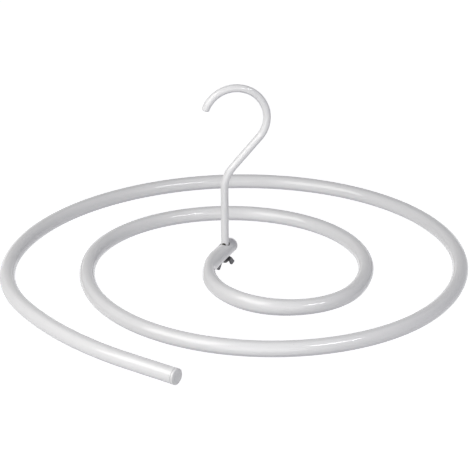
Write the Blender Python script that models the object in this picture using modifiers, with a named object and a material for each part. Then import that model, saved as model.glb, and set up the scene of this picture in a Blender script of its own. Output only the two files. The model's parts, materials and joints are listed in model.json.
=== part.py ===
"""Spiral blanket hanger: a flat spiral of coated tube that hangs on a wire hook.

Metres, +Z up. The origin is where a rail bears on the hook, at the inner top of its crown. The hook lies in
the XZ plane, with its mouth towards -X. The spiral lies flat below it, and turns about the hook's stem.
"""
import math

import bmesh
import bpy
from mathutils import Matrix, Vector

MM = 0.001

# Tube of the spiral
TUBE_OD = 14.0 * MM
TUBE_WALL = 0.7 * MM
TUBE_SIDES = 16
HUB_HEADING = 239.2             # degrees from +X in which the tube leaves the hook's stem
INNER_END_LENGTH = 11.3 * MM    # from the stem's axis to the tube's inner cut end
HUB_STRAIGHT = 21.0 * MM        # from the stem's axis to the first bend
OUTER_STRAIGHT = 47.1 * MM      # from the last bend to the tube's outer cut end
# Bends from the hub outwards, each with the radius of the tube's centre line and the angle turned. The
# middle ones are wider than the one before by a growth, so that the turns stay apart at any inner radius.
HUB_BEND_RADIUS = 80.0 * MM
INNER_TURN_RADIUS = 65.0 * MM
SECOND_TURN_GROWTH = 60.0 * MM
THIRD_TURN_GROWTH = 40.5 * MM
OUTER_TURN_GROWTH = 32.5 * MM
OUTER_TURN_EASING = 19.0 * MM
TAIL_BEND_RADIUS = 172.0 * MM
TAIL_EASING_RADIUS = 330.0 * MM
SECOND_TURN_RADIUS = INNER_TURN_RADIUS + SECOND_TURN_GROWTH
THIRD_TURN_RADIUS = SECOND_TURN_RADIUS + THIRD_TURN_GROWTH
OUTER_TURN_RADIUS = THIRD_TURN_RADIUS + OUTER_TURN_GROWTH
BENDS = (
    (HUB_BEND_RADIUS, 72.4),
    (INNER_TURN_RADIUS, 104.7),
    (SECOND_TURN_RADIUS, 196.7),
    (THIRD_TURN_RADIUS, 156.6),
    (OUTER_TURN_RADIUS, 144.6),
    (OUTER_TURN_RADIUS + OUTER_TURN_EASING, 62.5),
    (TAIL_BEND_RADIUS, 34.7),
    (TAIL_EASING_RADIUS, 24.8),
)

# Wire of the hook
WIRE_OD = 7.2 * MM
WIRE_SIDES = 12
CROWN_RADIUS = 28.6 * MM        # wire's centre line
MOUTH_ANGLE = 72.0              # degrees from the top of the crown to the tip
NECK_LEAN = 41.3                # degrees between the slanted neck and the stem
NECK_LENGTH = 36.4 * MM
NECK_BEND_RADIUS = 31.2 * MM
STEM_LENGTH = 60.2 * MM         # straight wire above the spiral's centre plane
TIP_ROUNDING = 1.6 * MM

# Threaded foot of the hook, and what is screwed to it
THREAD_OD = 5.0 * MM
THREAD_DEPTH = 0.45 * MM
THREAD_PITCH = 0.8 * MM
THREAD_STEPS = 16
THREAD_SHOWING = 0.9 * MM       # thread left below the nut's hub
WASHER_OD = 10.0 * MM
WASHER_THICKNESS = 0.5 * MM
NUT_FLANGE_OD = 11.0 * MM
NUT_FLANGE_THICKNESS = 0.8 * MM
NUT_HUB_OD = 7.8 * MM
NUT_HUB_FLARE = 0.4 * MM        # how far the hub widens on the radius where it meets the flange
NUT_CHAMFER = 0.3 * MM
NUT_HEIGHT = 3.2 * MM
WING_SPAN = 25.0 * MM           # over both wings' outer corners
WING_SHOULDER_DROP = 6.6 * MM   # from the nut's upper face to a wing's outer corner
WING_TIP_SPAN = 14.8 * MM       # over both wings' lower corners
WING_DROP = 9.2 * MM            # from the nut's upper face to the lower corners
WING_BULGE = 0.9 * MM           # of a wing's end past the line between its two corners
WING_NOTCH = 0.4 * MM           # between a wing's lower edge and the hub
WING_THICKNESS = 1.5 * MM
WING_HEADING = 39.8             # degrees from +X, with the nut as tightened
NUT_SIDES = 24

# Plugs in the tube's two ends
PLUG_FLANGE_THICKNESS = 2.0 * MM
PLUG_FLANGE_ROUNDING = 0.6 * MM
PLUG_DOME = 0.3 * MM
OUTER_SHANK_LENGTH = 11.0 * MM
INNER_SHANK_LENGTH = 5.5 * MM
PLUG_SHANK_TAPER = 0.5 * MM
PLUG_SIDES = 24

# Clearances
TOP_HOLE_CLEARANCE = 0.8 * MM   # round the coated wire, on the radius
FOOT_HOLE_CLEARANCE = 0.3 * MM  # round the thread, on the radius
WASHER_CLEARANCE = 0.3 * MM     # round the thread, on the radius
THREAD_CLEARANCE = 0.12 * MM    # between the nut's thread and the foot's, on the radius
SEAT_GAP = 0.3 * MM             # between faces that bear on each other
SHANK_CLEARANCE = 0.1 * MM      # between a plug's shank and the tube's flats, on the radius

# Fineness of the curves
TUBE_SAG = 0.2 * MM             # most that a chord may lie off the tube's centre line
WIRE_SAG = 0.08 * MM
DRILL_SIDES = 24
SHARP_ANGLE = 35                # degrees between faces that are shaded as a sharp edge
WELD = 0.001 * MM

# Sizes worked out from those above
TUBE_RADIUS = TUBE_OD / 2
BORE_RADIUS = TUBE_RADIUS - TUBE_WALL
BORE_FLAT_RADIUS = BORE_RADIUS * math.cos(math.pi / TUBE_SIDES)
WIRE_RADIUS = WIRE_OD / 2
THREAD_RADIUS = THREAD_OD / 2
TOP_HOLE_RADIUS = WIRE_RADIUS + TOP_HOLE_CLEARANCE
FOOT_HOLE_RADIUS = THREAD_RADIUS + FOOT_HOLE_CLEARANCE
WASHER_HOLE_RADIUS = THREAD_RADIUS + WASHER_CLEARANCE


def walk(point, heading, moves, sag):
    """Points along straight and round stretches in a plane, and where they end and head.

    A move is ("line", length) or ("arc", radius, degrees), and positive degrees turn left.
    """
    x, y = point
    heading = math.radians(heading)
    points = [(x, y)]
    for move in moves:
        if move[0] == "line":
            x += move[1] * math.cos(heading)
            y += move[1] * math.sin(heading)
            points.append((x, y))
            continue
        radius, turn = move[1], math.radians(move[2])
        side = math.copysign(1.0, turn)
        centre_x = x - side * radius * math.sin(heading)
        centre_y = y + side * radius * math.cos(heading)
        step = 2 * math.acos(1 - sag / radius)
        count = max(2, math.ceil(abs(turn) / step))
        for i in range(1, count + 1):
            angle = heading + turn * i / count
            x = centre_x + side * radius * math.sin(angle)
            y = centre_y - side * radius * math.cos(angle)
            points.append((x, y))
        heading += turn
    return points, math.degrees(heading)


def hook_line():
    """Centre line of the hook's wire in its own plane, from the tip to the spiral's centre plane."""
    crown_centre = (0.0, WIRE_RADIUS - CROWN_RADIUS)
    start_angle = math.radians(90 + MOUTH_ANGLE)
    tip = (
        crown_centre[0] + CROWN_RADIUS * math.cos(start_angle),
        crown_centre[1] + CROWN_RADIUS * math.sin(start_angle),
    )
    moves = (
        ("arc", CROWN_RADIUS, -(MOUTH_ANGLE + 90 + NECK_LEAN)),
        ("line", NECK_LENGTH),
        ("arc", NECK_BEND_RADIUS, NECK_LEAN),
        ("line", STEM_LENGTH),
    )
    points, _ = walk(tip, MOUTH_ANGLE, moves, WIRE_SAG)
    return points


STEM_X, PLANE_Z = hook_line()[-1]
# The rim of the wire's shoulder bears on the flanks of the round bore, above its lowest line
SHOULDER_Z = PLANE_Z - math.sqrt(BORE_FLAT_RADIUS**2 - WIRE_RADIUS**2) + SEAT_GAP
WASHER_TOP_Z = PLANE_Z - TUBE_RADIUS - SEAT_GAP
NUT_TOP_Z = WASHER_TOP_Z - WASHER_THICKNESS - SEAT_GAP
FOOT_END_Z = NUT_TOP_Z - NUT_HEIGHT - THREAD_SHOWING


def new_collection(name):
    """A collection of its own under the scene."""
    collection = bpy.data.collections.new(name)
    bpy.context.scene.collection.children.link(collection)
    return collection


def new_material(name, colour, roughness, metallic=0.0):
    """A plain finish."""
    material = bpy.data.materials.new(name)
    material.use_nodes = True
    shader = material.node_tree.nodes["Principled BSDF"]
    shader.inputs["Base Color"].default_value = (*colour, 1.0)
    shader.inputs["Roughness"].default_value = roughness
    shader.inputs["Metallic"].default_value = metallic
    return material


def add_object(name, mesh, collection, location=(0, 0, 0), parent=None):
    """An object at a place, or at a place in its parent's frame."""
    item = bpy.data.objects.new(name, mesh)
    collection.objects.link(item)
    item.parent = parent
    item.location = location
    return item


def finish(item, material):
    """Give a piece its finish and its smooth shading."""
    item.data.materials.clear()
    item.data.materials.append(material)
    item.data.shade_smooth()
    item.data.set_sharp_from_angle(angle=math.radians(SHARP_ANGLE))


def weld_outward(mesh):
    """Weld a closed mesh's doubles and point its faces outwards."""
    shell = bmesh.new()
    shell.from_mesh(mesh)
    bmesh.ops.remove_doubles(shell, verts=shell.verts, dist=WELD)
    bmesh.ops.recalc_face_normals(shell, faces=shell.faces)
    shell.to_mesh(mesh)
    shell.free()


def bake(item):
    """Replace an object's mesh by its evaluated one, without its modifiers."""
    graph = bpy.context.evaluated_depsgraph_get()
    graph.update()
    mesh = bpy.data.meshes.new_from_object(item.evaluated_get(graph))
    item.modifiers.clear()
    item.data = mesh


def mesh_of_curve(name, curve):
    """Closed or open mesh of a curve."""
    carrier = bpy.data.objects.new(name + "_line", curve)
    bpy.context.scene.collection.objects.link(carrier)
    graph = bpy.context.evaluated_depsgraph_get()
    graph.update()
    mesh = bpy.data.meshes.new_from_object(carrier.evaluated_get(graph))
    bpy.data.objects.remove(carrier)
    weld_outward(mesh)
    return mesh


def tube_mesh(name, points, radius, sides, twist, caps, thinning=None):
    """Mesh of a round tube along points; thinning scales its radius at each point."""
    curve = bpy.data.curves.new(name, "CURVE")
    curve.dimensions = "3D"
    curve.twist_mode = twist
    curve.bevel_depth = radius
    curve.bevel_resolution = (sides - 4) // 2
    curve.use_fill_caps = caps
    spline = curve.splines.new("POLY")
    spline.points.add(len(points) - 1)
    for i, (node, place) in enumerate(zip(spline.points, points)):
        node.co = (*place, 1.0)
        node.radius = thinning[i] if thinning else 1.0
    return mesh_of_curve(name, curve)


def turned_object(name, profile, sides, collection, location=(0, 0, 0), parent=None, closed=False):
    """A shape turned about Z from (radius, height) pairs that run down its outer side."""
    mesh = bpy.data.meshes.new(name)
    edges = [(i, i + 1) for i in range(len(profile) - 1)]
    if closed:
        edges.append((len(profile) - 1, 0))
    mesh.from_pydata([(r, 0.0, z) for r, z in profile], edges, [])
    item = add_object(name, mesh, collection, location, parent)
    turn = item.modifiers.new("turn", "SCREW")
    turn.steps = sides
    turn.render_steps = sides
    turn.use_merge_vertices = True
    turn.merge_threshold = WELD
    bake(item)
    weld_outward(item.data)
    return item


def threaded_rod(name, crest_radius, root_radius, top_z, bottom_z, collection):
    """A rod at the stem's axis with a right-hand thread, whose phase hangs on the foot's end."""
    turns = math.ceil((top_z - bottom_z) / THREAD_PITCH) + 2
    # The thread is laid out from a whole number of turns below the foot's end
    start_z = FOOT_END_Z - THREAD_PITCH * (math.ceil((FOOT_END_Z - bottom_z) / THREAD_PITCH) + 1)
    turns += math.ceil((bottom_z - start_z) / THREAD_PITCH)
    mesh = bpy.data.meshes.new(name)
    tooth = [(root_radius, 0.0, 0.0), (crest_radius, 0.0, THREAD_PITCH / 2), (root_radius, 0.0, THREAD_PITCH)]
    mesh.from_pydata(tooth, [(0, 1), (1, 2)], [])
    item = add_object(name, mesh, collection, (STEM_X, 0, start_z))
    helix = item.modifiers.new("helix", "SCREW")
    helix.steps = THREAD_STEPS
    helix.render_steps = THREAD_STEPS
    helix.screw_offset = THREAD_PITCH
    helix.iterations = turns
    helix.use_merge_vertices = True
    helix.merge_threshold = WELD
    bake(item)
    shell = bmesh.new()
    shell.from_mesh(item.data)
    bmesh.ops.transform(shell, matrix=Matrix.Translation((0, 0, start_z)), verts=shell.verts)
    for plane_z, direction in ((top_z, 1), (bottom_z, -1)):
        everything = shell.verts[:] + shell.edges[:] + shell.faces[:]
        bmesh.ops.bisect_plane(
            shell, geom=everything, dist=WELD / 2, plane_co=(0, 0, plane_z), plane_no=(0, 0, direction),
            clear_outer=True)
    bmesh.ops.remove_doubles(shell, verts=shell.verts, dist=WELD)
    rims = [edge for edge in shell.edges if len(edge.link_faces) == 1]
    bmesh.ops.contextual_create(shell, geom=[e for e in rims if e.verts[0].co.z > (top_z + bottom_z) / 2])
    bmesh.ops.contextual_create(shell, geom=[e for e in rims if e.verts[0].co.z < (top_z + bottom_z) / 2])
    bmesh.ops.recalc_face_normals(shell, faces=shell.faces)
    shell.to_mesh(item.data)
    shell.free()
    item.location = (STEM_X, 0, 0)
    return item


def join_or_cut(item, tool, operation):
    """Join a tool's shape to a piece, or cut it away, for good."""
    change = item.modifiers.new(operation.lower(), "BOOLEAN")
    change.operation = operation
    change.solver = "EXACT"
    change.object = tool
    bake(item)


def hide_cutter(item):
    """Mark a cutter as one."""
    item.hide_render = True
    item.display_type = "WIRE"
    return item


def upright_drill(name, radius, low_z, high_z, place, collection):
    """A plain upright cylinder that drills a hole."""
    mesh = bpy.data.meshes.new(name)
    shell = bmesh.new()
    bmesh.ops.create_cone(
        shell, cap_ends=True, segments=DRILL_SIDES, radius1=radius, radius2=radius, depth=high_z - low_z)
    shell.to_mesh(mesh)
    shell.free()
    middle = (place[0], place[1], (low_z + high_z) / 2)
    return hide_cutter(add_object(name, mesh, collection, middle))


def spiral_line():
    """Centre line of the tube about the stem's axis, from its inner to its outer cut end, and its end heading."""
    away = math.radians(HUB_HEADING)
    start = (-INNER_END_LENGTH * math.cos(away), -INNER_END_LENGTH * math.sin(away))
    moves = [("line", INNER_END_LENGTH + HUB_STRAIGHT)]
    moves += [("arc", radius, turn) for radius, turn in BENDS]
    moves.append(("line", OUTER_STRAIGHT))
    return walk(start, HUB_HEADING, moves, TUBE_SAG)


def least_gap(points):
    """Least clear distance between a turn of the tube and the next one."""
    least = math.inf
    along = [0.0]
    for a, b in zip(points, points[1:]):
        along.append(along[-1] + math.dist(a, b))
    one_turn_apart = 4 * INNER_TURN_RADIUS
    for i, p in enumerate(points):
        for j in range(i + 1, len(points)):
            if along[j] - along[i] > one_turn_apart:
                least = min(least, math.dist(p, points[j]))
    return least - TUBE_OD


def make_hook(collection, cutters, finish_material):
    """Coated wire with its threaded foot, in one piece."""
    line = hook_line()
    line[-1] = (line[-1][0], SHOULDER_Z)
    # The tip's edge is rounded by narrower rings on its first stretch
    (x0, z0), (x1, z1) = line[0], line[1]
    ahead = Vector((x1 - x0, 0, z1 - z0)).normalized()
    tip = Vector((x0, 0, z0))
    points = []
    thinning = []
    for degrees in (90, 45, 0):
        angle = math.radians(degrees)
        points.append(tuple(tip + ahead * TIP_ROUNDING * (1 - math.sin(angle))))
        thinning.append(1 - TIP_ROUNDING / WIRE_RADIUS * (1 - math.cos(angle)))
    points += [(x, 0.0, z) for x, z in line[1:]]
    thinning += [1.0] * (len(line) - 1)
    mesh = tube_mesh("hook", points, WIRE_RADIUS, WIRE_SIDES, "MINIMUM", True, thinning)
    hook = add_object("hook", mesh, collection)
    foot = threaded_rod(
        "foot_thread", THREAD_RADIUS, THREAD_RADIUS - THREAD_DEPTH,
        SHOULDER_Z + WIRE_RADIUS, FOOT_END_Z, cutters)
    join_or_cut(hook, foot, "UNION")
    hide_cutter(foot)
    finish(hook, finish_material)
    return hook


def make_spiral(collection, cutters, swivel, finish_material):
    """Bent tube, drilled through for the wire above and for the thread below."""
    line, _ = spiral_line()
    print("least gap between turns of the tube, mm:", round(least_gap(line) / MM, 1))
    flat_line = [(x, y, 0.0) for x, y in line]
    mesh = tube_mesh("spiral_tube", flat_line, TUBE_RADIUS, TUBE_SIDES, "Z_UP", False)
    tube = add_object("spiral_tube", mesh, collection, parent=swivel)
    wall = tube.modifiers.new("wall", "SOLIDIFY")
    wall.thickness = TUBE_WALL
    wall.offset = -1
    wall.use_even_offset = True
    bake(tube)
    stem = (STEM_X, 0.0)
    top_drill = upright_drill(
        "top_drill", TOP_HOLE_RADIUS, PLANE_Z, PLANE_Z + TUBE_OD, stem, cutters)
    foot_drill = upright_drill(
        "foot_drill", FOOT_HOLE_RADIUS, PLANE_Z - TUBE_OD, PLANE_Z, stem, cutters)
    join_or_cut(tube, top_drill, "DIFFERENCE")
    join_or_cut(tube, foot_drill, "DIFFERENCE")
    finish(tube, finish_material)
    return tube


def make_plug(name, shank_length, place, heading, collection, swivel, finish_material):
    """Plastic end plug: a shank in the bore and a thin rounded flange on the cut end."""
    shank_radius = BORE_FLAT_RADIUS - SHANK_CLEARANCE
    flange_low = SEAT_GAP
    flange_high = flange_low + PLUG_FLANGE_THICKNESS
    dome_radius = TUBE_RADIUS - PLUG_FLANGE_ROUNDING
    profile = [(share * dome_radius, flange_high + PLUG_DOME * (1 - share**2)) for share in (0, 0.5)]
    for degrees in (90, 60, 30, 0):
        angle = math.radians(degrees)
        profile.append((
            TUBE_RADIUS - PLUG_FLANGE_ROUNDING * (1 - math.cos(angle)),
            flange_high - PLUG_FLANGE_ROUNDING * (1 - math.sin(angle))))
    profile += [
        (TUBE_RADIUS, flange_low),
        (shank_radius, flange_low),
        (shank_radius, flange_low - shank_length + PLUG_SHANK_TAPER * 2),
        (shank_radius - PLUG_SHANK_TAPER, flange_low - shank_length),
        (0.0, flange_low - shank_length),
    ]
    plug = turned_object(name, profile, PLUG_SIDES, collection, (place[0], place[1], 0.0), swivel)
    outward = Vector((math.cos(math.radians(heading)), math.sin(math.radians(heading)), 0))
    plug.rotation_euler = outward.to_track_quat("Z", "Y").to_euler()
    finish(plug, finish_material)
    return plug


def make_washer(collection, finish_material):
    """Flat washer under the tube."""
    outer, inner = WASHER_OD / 2, WASHER_HOLE_RADIUS
    low = -WASHER_THICKNESS
    profile = [(inner, 0.0), (outer, 0.0), (outer, low), (inner, low)]
    washer = turned_object(
        "washer", profile, NUT_SIDES, collection, (STEM_X, 0, WASHER_TOP_Z), closed=True)
    finish(washer, finish_material)
    return washer


def wing_outline(side):
    """Outline of one wing as (distance from the axis, height from the nut's upper face)."""
    flange, hub = NUT_FLANGE_OD / 2, NUT_HUB_OD / 2
    root = hub - WING_THICKNESS
    in_flange = NUT_FLANGE_THICKNESS / 2
    outer = Vector((WING_SPAN / 2, -WING_SHOULDER_DROP))
    lower = Vector((WING_TIP_SPAN / 2, -WING_DROP))
    end = outer - lower
    bulge = (outer + lower) / 2 + Vector((end.y, -end.x)).normalized() * WING_BULGE
    corners = (
        (root, -in_flange),
        (flange - in_flange, -in_flange),
        outer,
        bulge,
        lower,
        (hub + WING_NOTCH, -NUT_HEIGHT),
        (root, -NUT_HEIGHT + WING_NOTCH),
    )
    return [(side * across, down) for across, down in corners]


def make_wing_nut(collection, cutters, finish_material):
    """Wing nut on the thread, its flat face up and its wings down and out."""
    flange, hub = NUT_FLANGE_OD / 2, NUT_HUB_OD / 2
    profile = [
        (0.0, 0.0),
        (flange, 0.0),
        (flange, -NUT_FLANGE_THICKNESS),
        (hub + NUT_HUB_FLARE, -NUT_FLANGE_THICKNESS - NUT_CHAMFER),
        (hub, -NUT_HEIGHT + NUT_CHAMFER),
        (hub - NUT_CHAMFER, -NUT_HEIGHT),
        (0.0, -NUT_HEIGHT),
    ]
    nut = turned_object("wing_nut", profile, NUT_SIDES, collection, (STEM_X, 0, NUT_TOP_Z))
    for number, side in enumerate((1, -1)):
        curve = bpy.data.curves.new("wing", "CURVE")
        curve.dimensions = "2D"
        curve.fill_mode = "BOTH"
        curve.extrude = WING_THICKNESS / 2
        spline = curve.splines.new("POLY")
        outline = wing_outline(side)
        spline.points.add(len(outline) - 1)
        for node, (across, down) in zip(spline.points, outline):
            node.co = (across, down, 0.0, 1.0)
        spline.use_cyclic_u = True
        mesh = mesh_of_curve("wing", curve)
        wing = hide_cutter(add_object(f"wing_{number}", mesh, cutters, (STEM_X, 0, NUT_TOP_Z)))
        wing.rotation_euler = (math.radians(90), 0, math.radians(WING_HEADING))
        bpy.context.view_layer.update()
        join_or_cut(nut, wing, "UNION")
    crest = THREAD_RADIUS + THREAD_CLEARANCE
    root = THREAD_RADIUS - THREAD_DEPTH + THREAD_CLEARANCE
    tap = threaded_rod(
        "nut_tap", crest, root, NUT_TOP_Z + THREAD_PITCH, NUT_TOP_Z - NUT_HEIGHT - THREAD_PITCH, cutters)
    hide_cutter(tap)
    join_or_cut(nut, tap, "DIFFERENCE")
    finish(nut, finish_material)
    return nut


def main():
    for item in list(bpy.data.objects):
        bpy.data.objects.remove(item)
    parts = new_collection("spiral_blanket_hanger")
    cutters = new_collection("cutters")
    white_coat = new_material("white_coat", (0.80, 0.80, 0.81), 0.28)
    plug_plastic = new_material("plug_plastic", (0.76, 0.76, 0.76), 0.42)
    dark_steel = new_material("dark_steel", (0.10, 0.10, 0.11), 0.42, 1.0)

    swivel = bpy.data.objects.new("spiral_swivel", None)
    parts.objects.link(swivel)
    swivel.location = (STEM_X, 0, PLANE_Z)
    bpy.context.view_layer.update()

    make_hook(parts, cutters, white_coat)
    make_spiral(parts, cutters, swivel, white_coat)
    line, end_heading = spiral_line()
    make_plug("inner_end_plug", INNER_SHANK_LENGTH, line[0], HUB_HEADING + 180, parts, swivel, plug_plastic)
    make_plug("outer_end_plug", OUTER_SHANK_LENGTH, line[-1], end_heading, parts, swivel, plug_plastic)
    make_washer(parts, dark_steel)
    make_wing_nut(parts, cutters, dark_steel)


main()
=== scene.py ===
import json
import math
from functools import partial

import bpy
from mathutils import Matrix, Vector


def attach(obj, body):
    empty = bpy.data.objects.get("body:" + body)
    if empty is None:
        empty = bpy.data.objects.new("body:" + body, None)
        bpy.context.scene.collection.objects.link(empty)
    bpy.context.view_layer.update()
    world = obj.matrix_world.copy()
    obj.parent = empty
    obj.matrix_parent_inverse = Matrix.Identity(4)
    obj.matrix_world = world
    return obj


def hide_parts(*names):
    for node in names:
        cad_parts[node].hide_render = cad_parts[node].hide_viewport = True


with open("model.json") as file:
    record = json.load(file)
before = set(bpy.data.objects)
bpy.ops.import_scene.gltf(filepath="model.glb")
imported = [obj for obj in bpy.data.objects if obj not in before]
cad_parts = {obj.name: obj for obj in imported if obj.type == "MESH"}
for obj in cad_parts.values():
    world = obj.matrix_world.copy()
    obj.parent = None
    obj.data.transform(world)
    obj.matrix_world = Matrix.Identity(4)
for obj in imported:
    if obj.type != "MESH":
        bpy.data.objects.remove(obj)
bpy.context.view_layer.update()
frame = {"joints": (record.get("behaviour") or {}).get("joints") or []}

# A spiral blanket hanger: a coated tube, bent into a flat spiral and hung from a wire hook

mm = 0.001
weldGap = 0.002 * mm  # points nearer to each other than this become one
up = Vector((0, 0, 1))
white = (1, 1, 1, 1)
noiseMiddle = 0.5     # the value about which a noise pattern swings
swivel = next(joint for joint in frame["joints"] if joint["name"] == "spiral_swivel")
hub = Vector(swivel["pos_m"])  # where the stem's axis crosses the spiral's middle plane


# Modelling helpers

def leaveEdit():
    bpy.ops.object.mode_set(mode="OBJECT")


def clearSelection():
    if bpy.context.object and bpy.context.object.mode != "OBJECT":
        leaveEdit()
    bpy.ops.object.select_all(action="DESELECT")


def activate(piece):
    clearSelection()
    piece.select_set(True)
    bpy.context.view_layer.objects.active = piece


def settle():
    # what is selected keeps its place in its mesh alone
    bpy.ops.object.transform_apply(location=True, rotation=True, scale=True)


def named(name):
    piece = bpy.context.object
    piece.name = name
    piece.data.name = name
    settle()
    return piece


def selectAll():
    bpy.ops.mesh.select_all(action="SELECT")


def editAll():
    bpy.ops.object.mode_set(mode="EDIT")
    selectAll()


def turnOutward():
    selectAll()
    bpy.ops.mesh.normals_make_consistent(inside=False)


def weldOutward():
    selectAll()
    bpy.ops.mesh.remove_doubles(threshold=weldGap)
    turnOutward()


def capOpenings():
    # puts a face over each open loop, and leaves it selected
    bpy.ops.mesh.select_all(action="DESELECT")
    bpy.ops.mesh.select_non_manifold()
    bpy.ops.mesh.edge_face_add()


def drawOut(step):
    bpy.ops.mesh.extrude_region_move(TRANSFORM_OT_translate={"value": step})


def startRing(name, radius, sides, place, ahead):
    # an open ring, left in edit mode and selected, ready to be drawn out into a tube
    clearSelection()
    turn = Vector(ahead).to_track_quat("Z", "Y").to_euler()
    bpy.ops.mesh.primitive_circle_add(
        vertices=sides, radius=radius, fill_type="NOTHING", location=place, rotation=turn)
    piece = named(name)
    editAll()
    return piece


def runStraight(path, length, rings):
    for _ in range(rings):
        drawOut(path["ahead"] * length / rings)
    path["place"] = path["place"] + path["ahead"] * length


def runBend(path, radius, degrees, ringGap, oval=None):
    # Positive degrees turn left, seen with the path's axis towards the eye, and spin's own angle
    # turns right. The oval gives the tube's width and height, as factors, for a distance along
    # the bend.
    left = path["axis"].cross(path["ahead"])
    centre = path["place"] + left * radius * math.copysign(1, degrees)
    turn = math.radians(degrees)
    steps = max(1, math.ceil(abs(turn) * radius / ringGap))
    stages = steps if oval else 1
    swing = Matrix.Rotation(turn / stages, 3, path["axis"])
    was = oval(0) if oval else None
    for stage in range(1, stages + 1):
        bpy.ops.mesh.spin(
            steps=steps // stages, dupli=False, angle=-turn / stages, center=centre,
            axis=path["axis"])
        path["place"] = centre + swing @ (path["place"] - centre)
        path["ahead"] = (swing @ path["ahead"]).normalized()
        if oval:
            width, height = oval(abs(turn) * radius * stage / stages)
            scale = (width / was[0], width / was[0], height / was[1])
            bpy.ops.transform.resize(value=scale, center_override=path["place"])
            was = width, height


def drawLine(name, points):
    # a profile in the XZ plane, drawn point by point as (x, z), and left in edit mode
    clearSelection()
    bpy.ops.mesh.primitive_plane_add(size=mm, location=(points[0][0], 0, points[0][1]))
    piece = named(name)
    editAll()
    bpy.ops.mesh.merge(type="CENTER")
    for (x0, z0), (x1, z1) in zip(points, points[1:]):
        step = {"value": (x1 - x0, 0, z1 - z0)}
        bpy.ops.mesh.extrude_vertices_move(TRANSFORM_OT_translate=step)
    return piece


def turnProfile(name, points, sides):
    # a lathe shape about Z
    piece = drawLine(name, points)
    selectAll()
    bpy.ops.mesh.spin(
        steps=sides, dupli=False, angle=2 * math.pi, center=(0, 0, 0), axis=(0, 0, 1))
    weldOutward()
    leaveEdit()
    return piece


def arcPoints(centre, radius, fromDegrees, toDegrees, count):
    points = []
    for i in range(count + 1):
        angle = math.radians(fromDegrees + (toDegrees - fromDegrees) * i / count)
        points.append((centre[0] + radius * math.cos(angle), centre[1] + radius * math.sin(angle)))
    return points


def addModifier(piece, kind, **settings):
    activate(piece)
    modifier = piece.modifiers.new(kind.lower(), kind)
    for key, value in settings.items():
        setattr(modifier, key, value)
    bpy.ops.object.modifier_apply(modifier=modifier.name)


def cutWith(piece, tool, operation="DIFFERENCE"):
    addModifier(piece, "BOOLEAN", operation=operation, solver="EXACT", object=tool)
    bpy.data.objects.remove(tool)


def putAt(piece, place, turn=(0, 0, 0)):
    activate(piece)
    piece.rotation_euler = turn
    piece.location = place
    settle()


def smooth(piece, degrees=32):
    activate(piece)
    bpy.ops.object.shade_smooth_by_angle(angle=math.radians(degrees))


def mark(piece, name, values):
    # a value for each point of the mesh, which the piece's finish reads
    layer = piece.data.attributes.new(name, "FLOAT", "POINT")
    layer.data.foreach_set("value", values)


def markFacing(piece):
    # 1 where the surface faces straight up, and -1 where it faces down
    mark(piece, "facing", [vertex.normal.z for vertex in piece.data.vertices])


def markSharpness(piece):
    # 0.5 where the surface is flat, and more along its raised edges
    points = piece.data.vertices
    away = [Vector() for _ in points]  # sum of the directions to a point's neighbours
    near = [[] for _ in points]
    for edge in piece.data.edges:
        first, second = edge.vertices
        along = (points[second].co - points[first].co).normalized()
        away[first] += along
        away[second] -= along
        near[first].append(second)
        near[second].append(first)
    own = []
    for point, total, others in zip(points, away, near):
        lean = point.normal.dot(total / max(1, len(others)))
        own.append(math.acos(max(-1.0, min(1.0, lean))) / math.pi)
    mark(piece, "sharpness", [
        (value + sum(own[i] for i in others)) / (1 + len(others))
        for value, others in zip(own, near)])


def dress(piece, body, finish, slot, *nodes):
    piece.data.materials.clear()
    piece.data.materials.append(finish)
    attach(piece, body)
    if nodes:
        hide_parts(*nodes)
    print("made", piece.name, len(piece.data.polygons), "faces")


# Shader helpers

class Signal:
    # one output of a node, which can be added, scaled and so on like a number
    def __init__(self, recipe, socket):
        self.recipe = recipe
        self.socket = socket

    def combine(self, operation, first, second):
        return self.recipe.node("ShaderNodeMath", {"operation": operation}, {0: first, 1: second})

    def __add__(self, other):
        return self.combine("ADD", self, other)

    def __radd__(self, other):
        return self.combine("ADD", other, self)

    def __sub__(self, other):
        return self.combine("SUBTRACT", self, other)

    def __rsub__(self, other):
        return self.combine("SUBTRACT", other, self)

    def __mul__(self, other):
        return self.combine("MULTIPLY", self, other)

    def __rmul__(self, other):
        return self.combine("MULTIPLY", other, self)


class Recipe:
    # a material or world that is being put together
    def __init__(self, name, owner=None):
        self.owner = owner or bpy.data.materials.new(name)
        self.owner.use_nodes = True
        self.tree = self.owner.node_tree
        self.shader = self.tree.nodes.get("Principled BSDF")

    def node(self, kind, settings=None, inputs=None, output=0):
        made = self.tree.nodes.new(kind)
        for key, value in (settings or {}).items():
            setattr(made, key, value)
        for key, value in (inputs or {}).items():
            self.feed(made.inputs[key], value)
        return Signal(self, made.outputs[output])

    def feed(self, socket, value):
        if isinstance(value, Signal):
            self.tree.links.new(value.socket, socket)
        else:
            socket.default_value = value

    def set(self, **values):
        for key, value in values.items():
            self.feed(self.shader.inputs[key.replace("_", " ")], value)

    def objectPlace(self):
        return self.node("ShaderNodeTexCoord", output="Object")

    def marked(self, name):
        return self.node("ShaderNodeAttribute", {"attribute_name": name}, output="Fac")

    def noise(self, place, scale, detail, roughness=0.5):
        # the scale is in bumps to the metre
        return self.node("ShaderNodeTexNoise", {}, {
            "Vector": place, "Scale": scale, "Detail": detail, "Roughness": roughness})

    def mask(self, value, empty, full, way="LINEAR"):
        # 0 up to one value and 1 from the other on; the first may be the larger
        return self.node("ShaderNodeMapRange", {"interpolation_type": way}, {
            "Value": value, "From Min": empty, "From Max": full})

    def mixColour(self, share, first, second):
        return self.node(
            "ShaderNodeMix", {"data_type": "RGBA"}, {0: share, 6: first, 7: second}, output=2)

    def bump(self, height, distance, under=None):
        inputs = {"Height": height, "Distance": distance}
        if under:
            inputs["Normal"] = under
        return self.node("ShaderNodeBump", {}, inputs)


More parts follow.
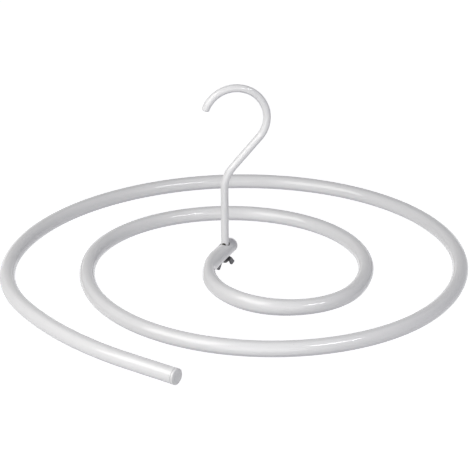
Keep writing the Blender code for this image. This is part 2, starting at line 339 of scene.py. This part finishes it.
# Coat of the tube and of the wire

coat = {
    "colour": (0.80, 0.80, 0.795, 1),
    "worn": (0.755, 0.757, 0.76, 1),
    "topShade": (0.73, 0.73, 0.73, 1),    # painted shade along the top-facing surfaces, where little light falls from above
    "thin": (0.60, 0.595, 0.625, 1),  # painted shade on the surfaces that face down, a little violet like the shaded side
    # painted shade on the top of the tube's inner end, behind the stem
    "hubShade": (0.56, 0.555, 0.58, 1),
    # painted shade in the drilled hole, and in the gap where the wire enters it
    "holeShade": (0.075, 0.070, 0.062, 1),
    "speck": (0.42, 0.41, 0.39, 1),
    "roughness": 0.075,
    "roughnessSpread": 0.04,
    "ior": 1.53,
    # Patterns, as scale, detail and roughness
    "tone": (14, 3.0, 0.55),
    "grime": (160, 4.0, 0.65),
    "dots": (1400, 1.0),
    "peel": (620, 1.5),
    "peelDepth": 0.011 * mm,
    "wave": (55, 1.0),
    "waveDepth": 0.10 * mm,
    # Shares in which the patterns bring in a colour
    "toneShare": 0.55,
    "grimeShare": 0.25,
    "speckShare": 0.5,
    # How far the grime breaks up an outline
    "facingBreak": 0.1,
    "hubShadeBreak": 0.3,
    "holeShadeBreak": 0.12,
    # Where a mask is still empty and where it is full
    "topShadeSpan": (0.86, 0.97),         # of the surface's facing, where 1 is up
    "thinSpan": (-0.25, -0.6),
    "hubShadeSpan": (1.1, 0.5),         # of the distance, where 1 is the reach
    "holeShadeSpan": (1.0, 0.88),
    "speckSpan": (0.735, 0.765),      # of the dots
}
# Places of painted shade on the coat, each as its middle and 1 over its reach each way: in the
# drilled hole, at the wire's front-left foot where it enters the hole, and on the top of the tube's
# inner end behind the stem.
drilledHole = hub, Vector((0.208, 0.208, 0)) / mm
# painted shadow at the wire's front-left foot, in the gap where it enters the hole
wireFootShade = hub + Vector((-1.48, -3.27, 6.7)) * mm, Vector((0.50, 0.50, 0.75)) / mm
hubShadePlace = hub + Vector((6, 9, 4)) * mm, Vector((0.1, 0.1, 0.1)) / mm


def spread(recipe, place, middle, reach):
    # how far a place is from the middle, where 1 is the reach
    def vectorMath(operation, *inputs, output=0):
        return recipe.node(
            "ShaderNodeVectorMath", {"operation": operation}, dict(enumerate(inputs)), output)

    offset = vectorMath("SUBTRACT", place, middle)
    return vectorMath("LENGTH", vectorMath("MULTIPLY", offset, reach), output="Value")


def makeCoat(name, holeShadeMiddle, holeShadeReach):
    recipe = Recipe(name)
    place = recipe.objectPlace()
    tone, grime, dots, peel, wave = (
        recipe.noise(place, *coat[pattern])
        for pattern in ("tone", "grime", "dots", "peel", "wave"))
    uneven = grime - noiseMiddle
    body = recipe.mixColour(
        tone * coat["toneShare"] + grime * coat["grimeShare"], coat["colour"], coat["worn"])
    facing = recipe.marked("facing") + uneven * coat["facingBreak"]
    # painted shade: the top-facing surfaces are darkened
    body = recipe.mixColour(recipe.mask(facing, *coat["topShadeSpan"]), body, coat["topShade"])
    # painted shade: the downward-facing surfaces are darkened
    body = recipe.mixColour(recipe.mask(facing, *coat["thinSpan"]), body, coat["thin"])
    # painted shade on the top of the tube's inner end, behind the stem
    hubShadeDistance = spread(recipe, place, *hubShadePlace) + uneven * coat["hubShadeBreak"]
    hubShadeMask = recipe.mask(hubShadeDistance, *coat["hubShadeSpan"], "SMOOTHSTEP")
    body = recipe.mixColour(hubShadeMask, body, coat["hubShade"])
    # painted shade in the drilled hole, and in the gap where the wire enters it
    holeShadeDistance = spread(recipe, place, holeShadeMiddle, holeShadeReach) + uneven * coat["holeShadeBreak"]
    holeShadeMask = recipe.mask(holeShadeDistance, *coat["holeShadeSpan"], "SMOOTHSTEP")
    body = recipe.mixColour(holeShadeMask, body, coat["holeShade"])
    specks = recipe.mask(dots, *coat["speckSpan"]) * coat["speckShare"]
    recipe.set(
        Base_Color=recipe.mixColour(specks, body, coat["speck"]),
        Roughness=coat["roughness"] + uneven * coat["roughnessSpread"],
        IOR=coat["ior"],
        Normal=recipe.bump(peel, coat["peelDepth"], recipe.bump(wave, coat["waveDepth"])))
    return recipe.owner


# Plastic of the plugs

plastic = {
    "colour": (0.79, 0.79, 0.785, 1),
    "shade": (0.70, 0.70, 0.70, 1),
    "shadeSpan": (0.35, 0.72),
    "cloud": (420, 3.0, 0.6),
    "grain": (1900, 2.0),
    "roughness": 0.42,
    "roughnessSpread": 0.2,
    "cloudHeight": 0.7,
    "grainHeight": 0.3,
    "depth": 0.06 * mm,
}


def makePlastic():
    recipe = Recipe("plug_plastic_finish")
    place = recipe.objectPlace()
    cloud = recipe.noise(place, *plastic["cloud"])
    grain = recipe.noise(place, *plastic["grain"])
    shade = recipe.mask(cloud, *plastic["shadeSpan"])
    height = cloud * plastic["cloudHeight"] + grain * plastic["grainHeight"]
    recipe.set(
        Base_Color=recipe.mixColour(shade, plastic["colour"], plastic["shade"]),
        Roughness=plastic["roughness"] + (grain - noiseMiddle) * plastic["roughnessSpread"],
        Normal=recipe.bump(height, plastic["depth"]))
    return recipe.owner


# Dark steel, of the nut and washer and of the thread

steel = {
    "blotch": (330, 4.0, 0.6),
    "grain": (2300, 2.0),
    "edgeShare": 0.8,
    "blotchShare": 0.35,
    "roughnessSpread": 0.25,
    "blotchHeight": 0.5,
    "grainHeight": 0.5,
    "depth": 0.05 * mm,
}
nutSteel = {
    "colour": (0.18, 0.176, 0.187, 1),
    # painted shade: the raised edges of the nut and washer are darkened
    "edge": (0.02, 0.02, 0.022, 1),
    "edgeSpan": (0.499, 0.512),  # sharpness at which the edge's colour begins and is full
    "roughness": 0.45,
    "metallic": 0.2,
    "specular": 0.25,
}
threadSteel = {
    "colour": (0.022, 0.021, 0.024, 1),
    "edge": (0.07, 0.069, 0.07, 1),
    "edgeSpan": (0.503, 0.54),
    "roughness": 0.4,
    "metallic": 0.6,
    "specular": 0.5,
}


def makeSteel(name, look):
    recipe = Recipe(name)
    place = recipe.objectPlace()
    blotch = recipe.noise(place, *steel["blotch"])
    grain = recipe.noise(place, *steel["grain"])
    # The edge colour is painted shade along the raised edges on the nut and washer, and lighter
    # rubbed crests on the thread.
    edge = recipe.mask(recipe.marked("sharpness"), *look["edgeSpan"])
    share = recipe.node("ShaderNodeMath", {"operation": "ADD", "use_clamp": True}, {
        0: edge * steel["edgeShare"], 1: (blotch - noiseMiddle) * steel["blotchShare"]})
    height = blotch * steel["blotchHeight"] + grain * steel["grainHeight"]
    recipe.set(
        Base_Color=recipe.mixColour(share, look["colour"], look["edge"]),
        Metallic=look["metallic"],
        Specular_IOR_Level=look["specular"],
        Roughness=look["roughness"] + (blotch - noiseMiddle) * steel["roughnessSpread"],
        Normal=recipe.bump(height, steel["depth"]))
    return recipe.owner


# Camera, as the photograph was taken

shot = {
    "aim": Vector((3.7 * mm, 32.2 * mm, hub.z + 0.43 * mm)),
    "turn": 8.2,            # degrees that it looks past +Y towards +X
    "pitch": 22.805,
    "roll": -0.33,
    "distance": 1.8675,     # metres
    "lens": 153.15,
    "sensor": 36,
    "clip": (0.05, 50),
}


def setCamera():
    turn, pitch = math.radians(shot["turn"]), math.radians(shot["pitch"])
    look = Vector((
        math.sin(turn) * math.cos(pitch), math.cos(turn) * math.cos(pitch), -math.sin(pitch)))
    data = bpy.data.cameras.new("camera")
    data.lens = shot["lens"]
    data.sensor_width = shot["sensor"]
    data.clip_start, data.clip_end = shot["clip"]
    camera = bpy.data.objects.new("camera", data)
    bpy.context.scene.collection.objects.link(camera)
    roll = Matrix.Rotation(math.radians(shot["roll"]), 3, "Z")
    facing = look.to_track_quat("-Z", "Y").to_matrix() @ roll
    place = shot["aim"] - look * shot["distance"]
    camera.matrix_world = Matrix.Translation(place) @ facing.to_4x4()
    bpy.context.scene.camera = camera
    print("camera set")


# Spiral tube

tube = {
    "diameter": 14.0 * mm,
    "wall": 0.7 * mm,
    "sides": 48,
    "ringGap": 4.2 * mm,
    "straightRings": 8,
    "heading": 239.2,       # degrees from +X in which it leaves the stem
    "innerEnd": 11.3 * mm,  # from the stem's axis to the inner cut
    "hubStraight": 21.0 * mm,
    "bends": [              # radius of the middle line, and degrees
        (80.0 * mm, 72.4), (65.0 * mm, 104.7), (125.0 * mm, 196.7), (165.5 * mm, 156.6),
        (198.0 * mm, 144.6), (217.0 * mm, 62.5), (172.0 * mm, 34.7), (330.0 * mm, 24.8),
    ],
    "outerStraight": 47.1 * mm,
    # Where bending drew it out of round: distance from the first bend's start, half the length
    # of the place, and what its width and height gain there, as shares
    "ovals": [(28 * mm, 28 * mm, -0.19, 0.03), (106 * mm, 66 * mm, -0.04, 0.11)],
}
# The drill whose flare rounds the coated edge of a hole
drill = {
    "top": 4.55 * mm,       # radius of the upper hole
    "topShift": Vector((-0.75 * mm, -0.4 * mm, 0)),  # worn towards the front left
    "foot": 2.8 * mm,
    "sides": 96,
    "lip": 0.45 * mm,
    "lipDegrees": (0, 18, 36, 54, 72, 85),
    "flare": 1.3,           # width beyond the hole, in lips
    "proud": 2 * mm,        # how far it stands out of the tube
}


def drillRings(radius):
    # from the tube's middle plane outwards: each ring's radius, and how far it lies over the
    # tube's round outside, or None for a flat one
    lip = drill["lip"]
    rings = [(radius, None)]
    for degrees in drill["lipDegrees"]:
        angle = math.radians(degrees)
        rings.append((radius + lip * (1 - math.cos(angle)), -lip * (1 - math.sin(angle))))
    wide = radius + lip * drill["flare"]
    return rings + [(wide, lip), (wide, None)]


def makeDrill(name, radius, side, shift=Vector()):
    # side is 1 above, -1 below
    outside = tube["diameter"] / 2
    rings = drillRings(radius)
    tool = startRing(name, radius, drill["sides"], (0, 0, 0), up)
    for _ in rings[1:]:
        drawOut((0, 0, mm))
    leaveEdit()
    along = math.radians(tube["heading"])
    shiftAcross = shift.y * math.cos(along) - shift.x * math.sin(along)
    for vertex in tool.data.vertices:
        ring = round(vertex.co.z / mm)
        reach, rise = rings[ring]
        angle = math.atan2(vertex.co.y, vertex.co.x)
        if rise is None:
            height = outside + drill["proud"] if ring else 0
        else:
            across = reach * math.sin(angle - along) + shiftAcross
            height = math.sqrt(outside**2 - across**2) + rise
        vertex.co = Vector((
            reach * math.cos(angle), reach * math.sin(angle), side * height)) + shift
    activate(tool)
    editAll()
    capOpenings()
    turnOutward()
    leaveEdit()
    putAt(tool, hub)
    return tool


def outOfRound(travelled, along):
    # the tube's width and height as factors, at a distance along a bend that starts after travelled
    width, height = 1, 1
    for middle, reach, wider, higher in tube["ovals"]:
        share = abs(travelled + along - middle) / reach
        if share < 1:
            bell = math.cos(share * math.pi / 2) ** 2
            width += wider * bell
            height += higher * bell
    return width, height


def makeSpiral(finish):
    # gives the tube's two ends for the plugs, each as its place and the way it faces
    away = math.radians(tube["heading"])
    ahead = Vector((math.cos(away), math.sin(away), 0))
    path = {"axis": up, "ahead": ahead, "place": hub - ahead * tube["innerEnd"]}
    inner = path["place"].copy(), -ahead
    piece = startRing(
        "spiral_tube_coated", tube["diameter"] / 2, tube["sides"], path["place"], ahead)
    runStraight(path, tube["innerEnd"] + tube["hubStraight"], tube["straightRings"])
    ovalsEnd = max(middle + reach for middle, reach, _, _ in tube["ovals"])
    travelled = 0
    for radius, degrees in tube["bends"]:
        oval = partial(outOfRound, travelled) if travelled < ovalsEnd else None
        runBend(path, radius, degrees, tube["ringGap"], oval)
        travelled += radius * math.radians(degrees)
    runStraight(path, tube["outerStraight"], tube["straightRings"])
    outer = path["place"].copy(), path["ahead"].copy()
    turnOutward()
    leaveEdit()
    addModifier(piece, "SOLIDIFY", thickness=tube["wall"], offset=-1, use_even_offset=True)
    cutWith(piece, makeDrill("top_drill", drill["top"], 1, drill["topShift"]))
    cutWith(piece, makeDrill("foot_drill", drill["foot"], -1))
    smooth(piece)
    markFacing(piece)
    dress(piece, "spiral", finish, "white_coat", "spiral_tube")
    return inner, outer


# Hook

wire = {
    "diameter": 7.2 * mm,
    "sides": 40,
    "ringGap": 1.6 * mm,
    "crown": 28.6 * mm,     # radius of its middle line
    "mouth": 72.0,          # degrees from the crown's top to the tip
    "neckLean": 41.3,
    "neck": 36.4 * mm,
    "neckRings": 12,
    "neckBend": 31.2 * mm,
    "stem": 60.2 * mm,
    "stemRings": 16,
    "shoulder": 5.05 * mm,  # depth of the coat's end below the spiral's middle plane
    "tipRounding": 1.3 * mm,
    "tipDegrees": (15, 30, 45, 60, 75, 90),
    "tipInsets": (0.5 * mm, 0.7 * mm),
}


def makeHook(finish):
    radius, crown, rounding = wire["diameter"] / 2, wire["crown"], wire["tipRounding"]
    mouth = math.radians(wire["mouth"])
    crownCentre = Vector((0, 0, radius - crown))
    path = {"axis": Vector((0, -1, 0)), "ahead": Vector((math.cos(mouth), 0, math.sin(mouth)))}
    path["place"] = crownCentre + crown * Vector((-math.sin(mouth), 0, math.cos(mouth)))
    piece = startRing(
        "hook_wire_coated", radius - rounding, wire["sides"], path["place"], path["ahead"])
    rings = [(radius - rounding, 0)]
    for degrees in wire["tipDegrees"]:
        angle = math.radians(degrees)
        rings.append((
            radius - rounding * (1 - math.sin(angle)), rounding * (1 - math.cos(angle))))
    for (reach0, along0), (reach1, along1) in zip(rings, rings[1:]):
        # the rounded edge follows the crown's own bend, one step to a ring
        runBend(path, crown, -math.degrees((along1 - along0) / crown), rounding)
        scale = reach1 / reach0
        bpy.ops.transform.resize(value=(scale, scale, scale), center_override=path["place"])
    used = math.degrees(rounding / crown)
    runBend(path, crown, -(wire["mouth"] + 90 + wire["neckLean"] - used), wire["ringGap"])
    runStraight(path, wire["neck"], wire["neckRings"])
    runBend(path, wire["neckBend"], wire["neckLean"], wire["ringGap"])
    runStraight(path, wire["stem"] + wire["shoulder"], wire["stemRings"])
    bpy.ops.mesh.edge_face_add()
    capOpenings()  # only the tip is still open
    for inset in wire["tipInsets"]:
        bpy.ops.mesh.inset(thickness=inset)
    bpy.ops.mesh.poke()
    weldOutward()
    leaveEdit()
    smooth(piece)
    markFacing(piece)
    dress(piece, "hook", finish, "white_coat", "hook")


# Thread on the hook's foot, and the tap that cuts the nut's thread

thread = {
    "radius": 2.5 * mm,
    "depth": 0.45 * mm,
    "pitch": 0.8 * mm,
    # A tooth's outline: 0 at the root or 1 at the crest, and the height in pitches
    "tooth": [(0, 0), (0, 0.12), (1, 0.44), (1, 0.56), (0, 0.88), (0, 1)],
    "steps": 48,             # in each turn
    "spareTurns": 4,
    "lead": 1.5,             # pitches that a helix starts below its lower end, at least
    "start": 3.1 * mm,       # depths below the spiral's middle plane
    "footDepth": 12.2 * mm,
    "startSpare": 0.1 * mm,  # what is cut off again at the ends
    "footSpare": 0.3 * mm,
    "chamfer": 0.5 * mm,
    "blankWidth": 1.04,      # of the radius
    "blankSides": 64,
    "clearance": 0.12 * mm,  # of the nut's thread
    "smoothBelow": 25,       # degrees
}


def makeHelix(name, extra, top, bottom):
    # a threaded rod between two depths below the hub, cut flat and capped at both
    pitch, foot = thread["pitch"], thread["footDepth"]
    crest = thread["radius"] + extra
    root = crest - thread["depth"]
    turns = math.ceil((bottom - top) / pitch) + thread["spareTurns"]
    # whole pitches below the foot's end, so that the tap is in step with the foot's thread
    lowest = foot + pitch * math.ceil((bottom - foot) / pitch + thread["lead"])
    tooth = [((root, crest)[level], share * pitch) for level, share in thread["tooth"]]
    piece = drawLine(name, tooth)
    leaveEdit()
    addModifier(
        piece, "SCREW", steps=thread["steps"], render_steps=thread["steps"], screw_offset=pitch,
        iterations=turns, use_merge_vertices=True, merge_threshold=weldGap / 2)
    putAt(piece, hub - up * lowest)
    editAll()
    weldOutward()
    nudge = pitch / thread["steps"] / 2  # so that a cut passes between two steps
    for depth, away in ((top, up), (bottom, -up)):
        selectAll()
        bpy.ops.mesh.bisect(plane_co=hub - up * (depth + nudge), plane_no=away, clear_outer=True)
    capOpenings()
    turnOutward()
    leaveEdit()
    return piece


def makeFootThread(finish):
    top, bottom = thread["start"], thread["footDepth"]
    wide, chamfer = thread["radius"] * thread["blankWidth"], thread["chamfer"]
    piece = makeHelix(
        "hook_foot_thread", 0, top - thread["startSpare"], bottom + thread["footSpare"])
    blank = turnProfile("foot_blank", [
        (0, -top), (wide, -top), (wide, chamfer - bottom), (wide - chamfer, -bottom),
        (0, -bottom)], thread["blankSides"])
    putAt(blank, hub)
    cutWith(piece, blank, "INTERSECT")
    smooth(piece, thread["smoothBelow"])
    markSharpness(piece)
    dress(piece, "hook", finish, "dark_steel")


# Washer

washer = {
    "outer": 5.0 * mm,
    "inner": 2.8 * mm,
    "thickness": 0.5 * mm,
    "top": 7.3 * mm,        # depth of its upper face below the spiral's middle plane
    "rounding": 0.16 * mm,  # stamped upper edges
    "roundingSteps": 5,
    "burr": 0.06 * mm,
    "sides": 72,
}


def makeWasher(finish):
    outer, inner, thick = washer["outer"], washer["inner"], washer["thickness"]
    soft, steps, burr = washer["rounding"], washer["roundingSteps"], washer["burr"]
    piece = turnProfile("plain_washer", [
        (inner, burr - thick),
        *arcPoints((inner + soft, -soft), soft, 180, 90, steps),
        *arcPoints((outer - soft, -soft), soft, 90, 0, steps),
        (outer, burr - thick), (outer - burr, -thick), (inner + burr, -thick),
        (inner, burr - thick)], washer["sides"])
    putAt(piece, hub - up * washer["top"])
    smooth(piece)
    markSharpness(piece)
    dress(piece, "washer", finish, "dark_steel", "washer")


# Wing nut

wingNut = {
    "top": 8.1 * mm,        # depth of its bearing face below the spiral's middle plane
    "height": 3.2 * mm,
    "flange": 5.5 * mm,
    "flangeThickness": 0.8 * mm,
    "flangeEdge": (0.15 * mm, 0.2 * mm),  # chamfer across and down
    "hubRadius": 3.9 * mm,
    "fillet": 0.6 * mm,     # between flange and hub
    "filletOut": 0.7 * mm,  # from the hub to the fillet's centre
    "filletSteps": 4,
    "filletEnd": 0.9 * mm,  # below the flange
    "hubFoot": 3.3 * mm,    # radius where it ends below
    "footEdge": (0.3 * mm, 0.2 * mm),
    "sides": 72,
    "wings": [              # mm, from axis and top
        (2.9, -0.3), (5.9, -0.2), (7.2, -0.8), (8.9, -2.3), (10.9, -4.9), (12.3, -6.5),
        (12.1, -7.5), (10.6, -8.5), (9.0, -9.25), (7.8, -9.1), (7.0, -8.0), (6.3, -6.4),
        (5.5, -5.0), (4.5, -3.7), (2.9, -3.0)],
    "wingThickness": 1.5 * mm,
    "heading": 39.8,        # degrees of one wing from +X
    "voxel": 0.2 * mm,      # of the remesh that makes body and wings one piece
    "softening": {"factor": 0.5, "iterations": 3},
    "countersink": 0.35 * mm,
    "sinkSides": 64,
    "smoothBelow": 40,      # degrees
}


def makeWing(side):
    thick = wingNut["wingThickness"]
    wing = drawLine("wing", [(side * across * mm, down * mm) for across, down in wingNut["wings"]])
    selectAll()
    bpy.ops.mesh.edge_face_add()
    drawOut((0, thick, 0))
    selectAll()
    bpy.ops.transform.translate(value=(0, -thick / 2, 0))
    turnOutward()
    leaveEdit()
    return wing


def nutProfile():
    flange, thick = wingNut["flange"], wingNut["flangeThickness"]
    body, foot, height = wingNut["hubRadius"], wingNut["hubFoot"], wingNut["height"]
    edgeIn, edgeDown = wingNut["flangeEdge"]
    footIn, footUp = wingNut["footEdge"]
    fillet = wingNut["fillet"]
    filletCentre = body + wingNut["filletOut"], -thick - fillet
    return [
        (0, 0), (flange - edgeIn, 0), (flange, -edgeDown), (flange, -thick),
        *arcPoints(filletCentre, fillet, 90, 180, wingNut["filletSteps"]),
        (body, -thick - wingNut["filletEnd"]), (foot, footUp - height), (foot - footIn, -height),
        (0, -height)]


def makeCountersink(depth, side):
    # a cone that opens the thread's end; side is 1 at the upper face, -1 at the lower
    sink = wingNut["countersink"]
    wide = thread["radius"] + thread["clearance"] + sink
    profile = [(0, 2 * sink), (wide + sink, 2 * sink), (wide - 2 * sink, -sink), (0, -sink)]
    cone = turnProfile("countersink", profile, wingNut["sinkSides"])
    putAt(cone, hub - up * depth, (0, 0, 0) if side == 1 else (math.pi, 0, 0))
    return cone


def makeWingNut(finish):
    top, height, pitch = wingNut["top"], wingNut["height"], thread["pitch"]
    piece = turnProfile("wing_nut_pressed", nutProfile(), wingNut["sides"])
    for side in (1, -1):
        cutWith(piece, makeWing(side), "UNION")
    addModifier(
        piece, "REMESH", mode="VOXEL", voxel_size=wingNut["voxel"], use_smooth_shade=True)
    addModifier(piece, "SMOOTH", **wingNut["softening"])
    putAt(piece, hub - up * top, (0, 0, math.radians(wingNut["heading"])))
    cutWith(piece, makeHelix("tap", thread["clearance"], top - pitch, top + height + pitch))
    for depth, side in ((top, 1), (top + height, -1)):
        cutWith(piece, makeCountersink(depth, side))
    smooth(piece, wingNut["smoothBelow"])
    markSharpness(piece)
    dress(piece, "wing_nut", finish, "dark_steel", "wing_nut")


# End plugs

plug = {
    "seat": 0.3 * mm,       # from the tube's cut to the flange
    "flange": 2.0 * mm,
    "radius": 7.0 * mm,
    "rounding": 0.55 * mm,
    "roundingSteps": 6,
    "dome": 0.3 * mm,
    "dimple": [(0, 0.25 * mm), (0.66 * mm, 0.2 * mm)],  # moulding gate, as reach and depth
    "facePoints": (1.1 * mm, 2.0 * mm, 3.0 * mm),       # reach, from the dimple's edge on
    "ringRadius": 4.7 * mm,  # moulded ring on the end face
    "ringWidth": 0.7 * mm,
    "ringHeight": 0.22 * mm,
    "ringDegrees": (150, 120, 90, 60, 30),
    "ringMargin": 0.15 * mm,
    "chamfer": 0.1 * mm,    # at the back of the flange
    "shank": 6.0 * mm,
    "firstRib": 1.0 * mm,   # below the seat
    "ribPitch": 1.6 * mm,
    "rib": 0.2 * mm,
    "ribDepths": (0.2 * mm, 0.5 * mm, 0.9 * mm),  # where it is full, still full, and gone
    "point": (0.5 * mm, 0.9 * mm),                # how far it tapers in, and over what length
    "sides": 72,
    "innerShank": 5.5 * mm,
    "outerShank": 11.0 * mm,
}


def plugProfile(shankLength):
    seat, shank, chamfer, soft = plug["seat"], plug["shank"], plug["chamfer"], plug["rounding"]
    high, end = seat + plug["flange"], seat - shankLength
    flat = plug["radius"] - soft
    ring, half = plug["ringRadius"], plug["ringWidth"] / 2
    margin = half + plug["ringMargin"]

    def rise(reach):
        return high + plug["dome"] * (1 - (reach / flat) ** 2)

    points = [(reach, rise(0) - depth) for reach, depth in plug["dimple"]]
    points += [(reach, rise(reach)) for reach in (*plug["facePoints"], ring - margin)]
    for degrees in plug["ringDegrees"]:
        angle = math.radians(degrees)
        reach = ring + half * math.cos(angle)
        points.append((reach, rise(reach) + plug["ringHeight"] * math.sin(angle)))
    points.append((ring + margin, rise(ring + margin)))
    points += arcPoints((flat, high - soft), soft, 90, 0, plug["roundingSteps"])
    points += [(plug["radius"], seat + chamfer), (plug["radius"] - chamfer, seat), (shank, seat)]
    wide = shank + plug["rib"]
    full, still, gone = plug["ribDepths"]
    depth = seat - plug["firstRib"]
    while depth > end + plug["ribPitch"]:
        points += [
            (shank, depth), (wide, depth - full), (wide, depth - still), (shank, depth - gone)]
        depth -= plug["ribPitch"]
    pointIn, pointUp = plug["point"]
    return points + [(shank, end + pointUp), (shank - pointIn, end), (0, end)]


def makePlug(name, node, shankLength, end, finish):
    place, outward = end
    piece = turnProfile(name, plugProfile(shankLength), plug["sides"])
    putAt(piece, place, outward.to_track_quat("Z", "Y").to_euler())
    smooth(piece)
    dress(piece, "spiral", finish, "plug_plastic", node)


# Studio

studio = {
    "floorDrop": 1.6,       # metres below the rail
    "floorSize": 14.0,
    "floorColour": (0.72, 0.72, 0.73, 1),
    "floorRoughness": 0.9,
    "floorGlow": 0.93,      # as seen directly
    "floorBounce": 0.22,    # as it lights the object
    "sideFill": (0.085, 0.085, 0.105, 1),
}
# Directions in degrees, from -Y towards +X and up from the spiral; distances and sizes in metres
lamps = {
    "softbox": {
        "azimuth": -62, "height": 38, "distance": 1.25, "size": (0.95, 0.8), "glow": 3.6,
        "colour": (1.0, 0.985, 0.96)},
    "strobe": {
        "azimuth": 31, "height": 39, "distance": 1.35, "size": (0.6, 0.18), "glow": 13.5,
        "colour": (0.98, 0.98, 1.0)},
    "frontPanel": {
        "azimuth": -25, "height": 8, "distance": 2.1, "size": (3.0, 1.6), "glow": 1.25,
        "colour": (1.0, 1.0, 1.0)},
    "lowFill": {
        "azimuth": 75, "height": -8, "distance": 2.0, "size": (1.8, 1.0), "glow": 0.2,
        "colour": (0.95, 0.95, 1.0)},
    "backFill": {
        "azimuth": 175, "height": -4, "distance": 2.6, "size": (2.8, 1.2), "glow": 0.35,
        "colour": (1.0, 1.0, 1.0)},
}


def seenDirectly(recipe):
    # 1 for rays from the camera, and for those mirrored or let through by a surface
    camera, mirrored, through = (
        recipe.node("ShaderNodeLightPath", output=output)
        for output in ("Is Camera Ray", "Is Glossy Ray", "Is Transmission Ray"))
    total = camera + mirrored + through
    return recipe.node("ShaderNodeMath", {"operation": "MINIMUM"}, {0: total, 1: 1.0})


def makeFloor():
    clearSelection()
    bpy.ops.mesh.primitive_plane_add(
        size=studio["floorSize"], location=(0, 0, -studio["floorDrop"]))
    floor = named("floor")
    recipe = Recipe("floor_paint")
    bounce = studio["floorBounce"]
    recipe.set(
        Base_Color=studio["floorColour"], Roughness=studio["floorRoughness"],
        Emission_Color=white,
        Emission_Strength=seenDirectly(recipe) * (studio["floorGlow"] - bounce) + bounce)
    floor.data.materials.append(recipe.owner)


def makeWorld():
    world = bpy.data.worlds.new("studio_world")
    bpy.context.scene.world = world
    recipe = Recipe("studio_world", world)
    background = recipe.tree.nodes.get("Background")
    colour = recipe.mixColour(seenDirectly(recipe), studio["sideFill"], white)
    recipe.feed(background.inputs["Color"], colour)
    recipe.feed(background.inputs["Strength"], 1.0)


def makeLamp(name, lamp):
    azimuth, height = math.radians(lamp["azimuth"]), math.radians(lamp["height"])
    towards = Vector((
        math.sin(azimuth) * math.cos(height), -math.cos(azimuth) * math.cos(height),
        math.sin(height)))
    wide, tall = lamp["size"]
    data = bpy.data.lights.new(name, "AREA")
    data.shape = "RECTANGLE"
    data.size, data.size_y = wide, tall
    data.energy = lamp["glow"] * math.pi * wide * tall
    data.color = lamp["colour"]
    light = bpy.data.objects.new(name, data)
    bpy.context.scene.collection.objects.link(light)
    light.visible_camera = False
    light.location = Vector((0, 0, hub.z)) + towards * lamp["distance"]
    light.rotation_euler = towards.to_track_quat("Z", "Y").to_euler()


def makeStudio():
    makeFloor()
    makeWorld()
    for name, lamp in lamps.items():
        makeLamp(name, lamp)
    bpy.context.scene.view_settings.view_transform = "Standard"
    print("studio set")


setCamera()
spiralFinish = makeCoat("spiral_coat_finish", *drilledHole)
hookFinish = makeCoat("hook_coat_finish", *wireFootShade)
plugPlastic = makePlastic()
nutFinish = makeSteel("dark_steel_finish", nutSteel)
threadFinish = makeSteel("thread_steel_finish", threadSteel)
print("finishes mixed")
innerEnd, outerEnd = makeSpiral(spiralFinish)
makeHook(hookFinish)
makeFootThread(threadFinish)
makeWasher(nutFinish)
makeWingNut(nutFinish)
makePlug("inner_plug_moulded", "inner_end_plug", plug["innerShank"], innerEnd, plugPlastic)
makePlug("outer_plug_moulded", "outer_end_plug", plug["outerShank"], outerEnd, plugPlastic)
makeStudio()
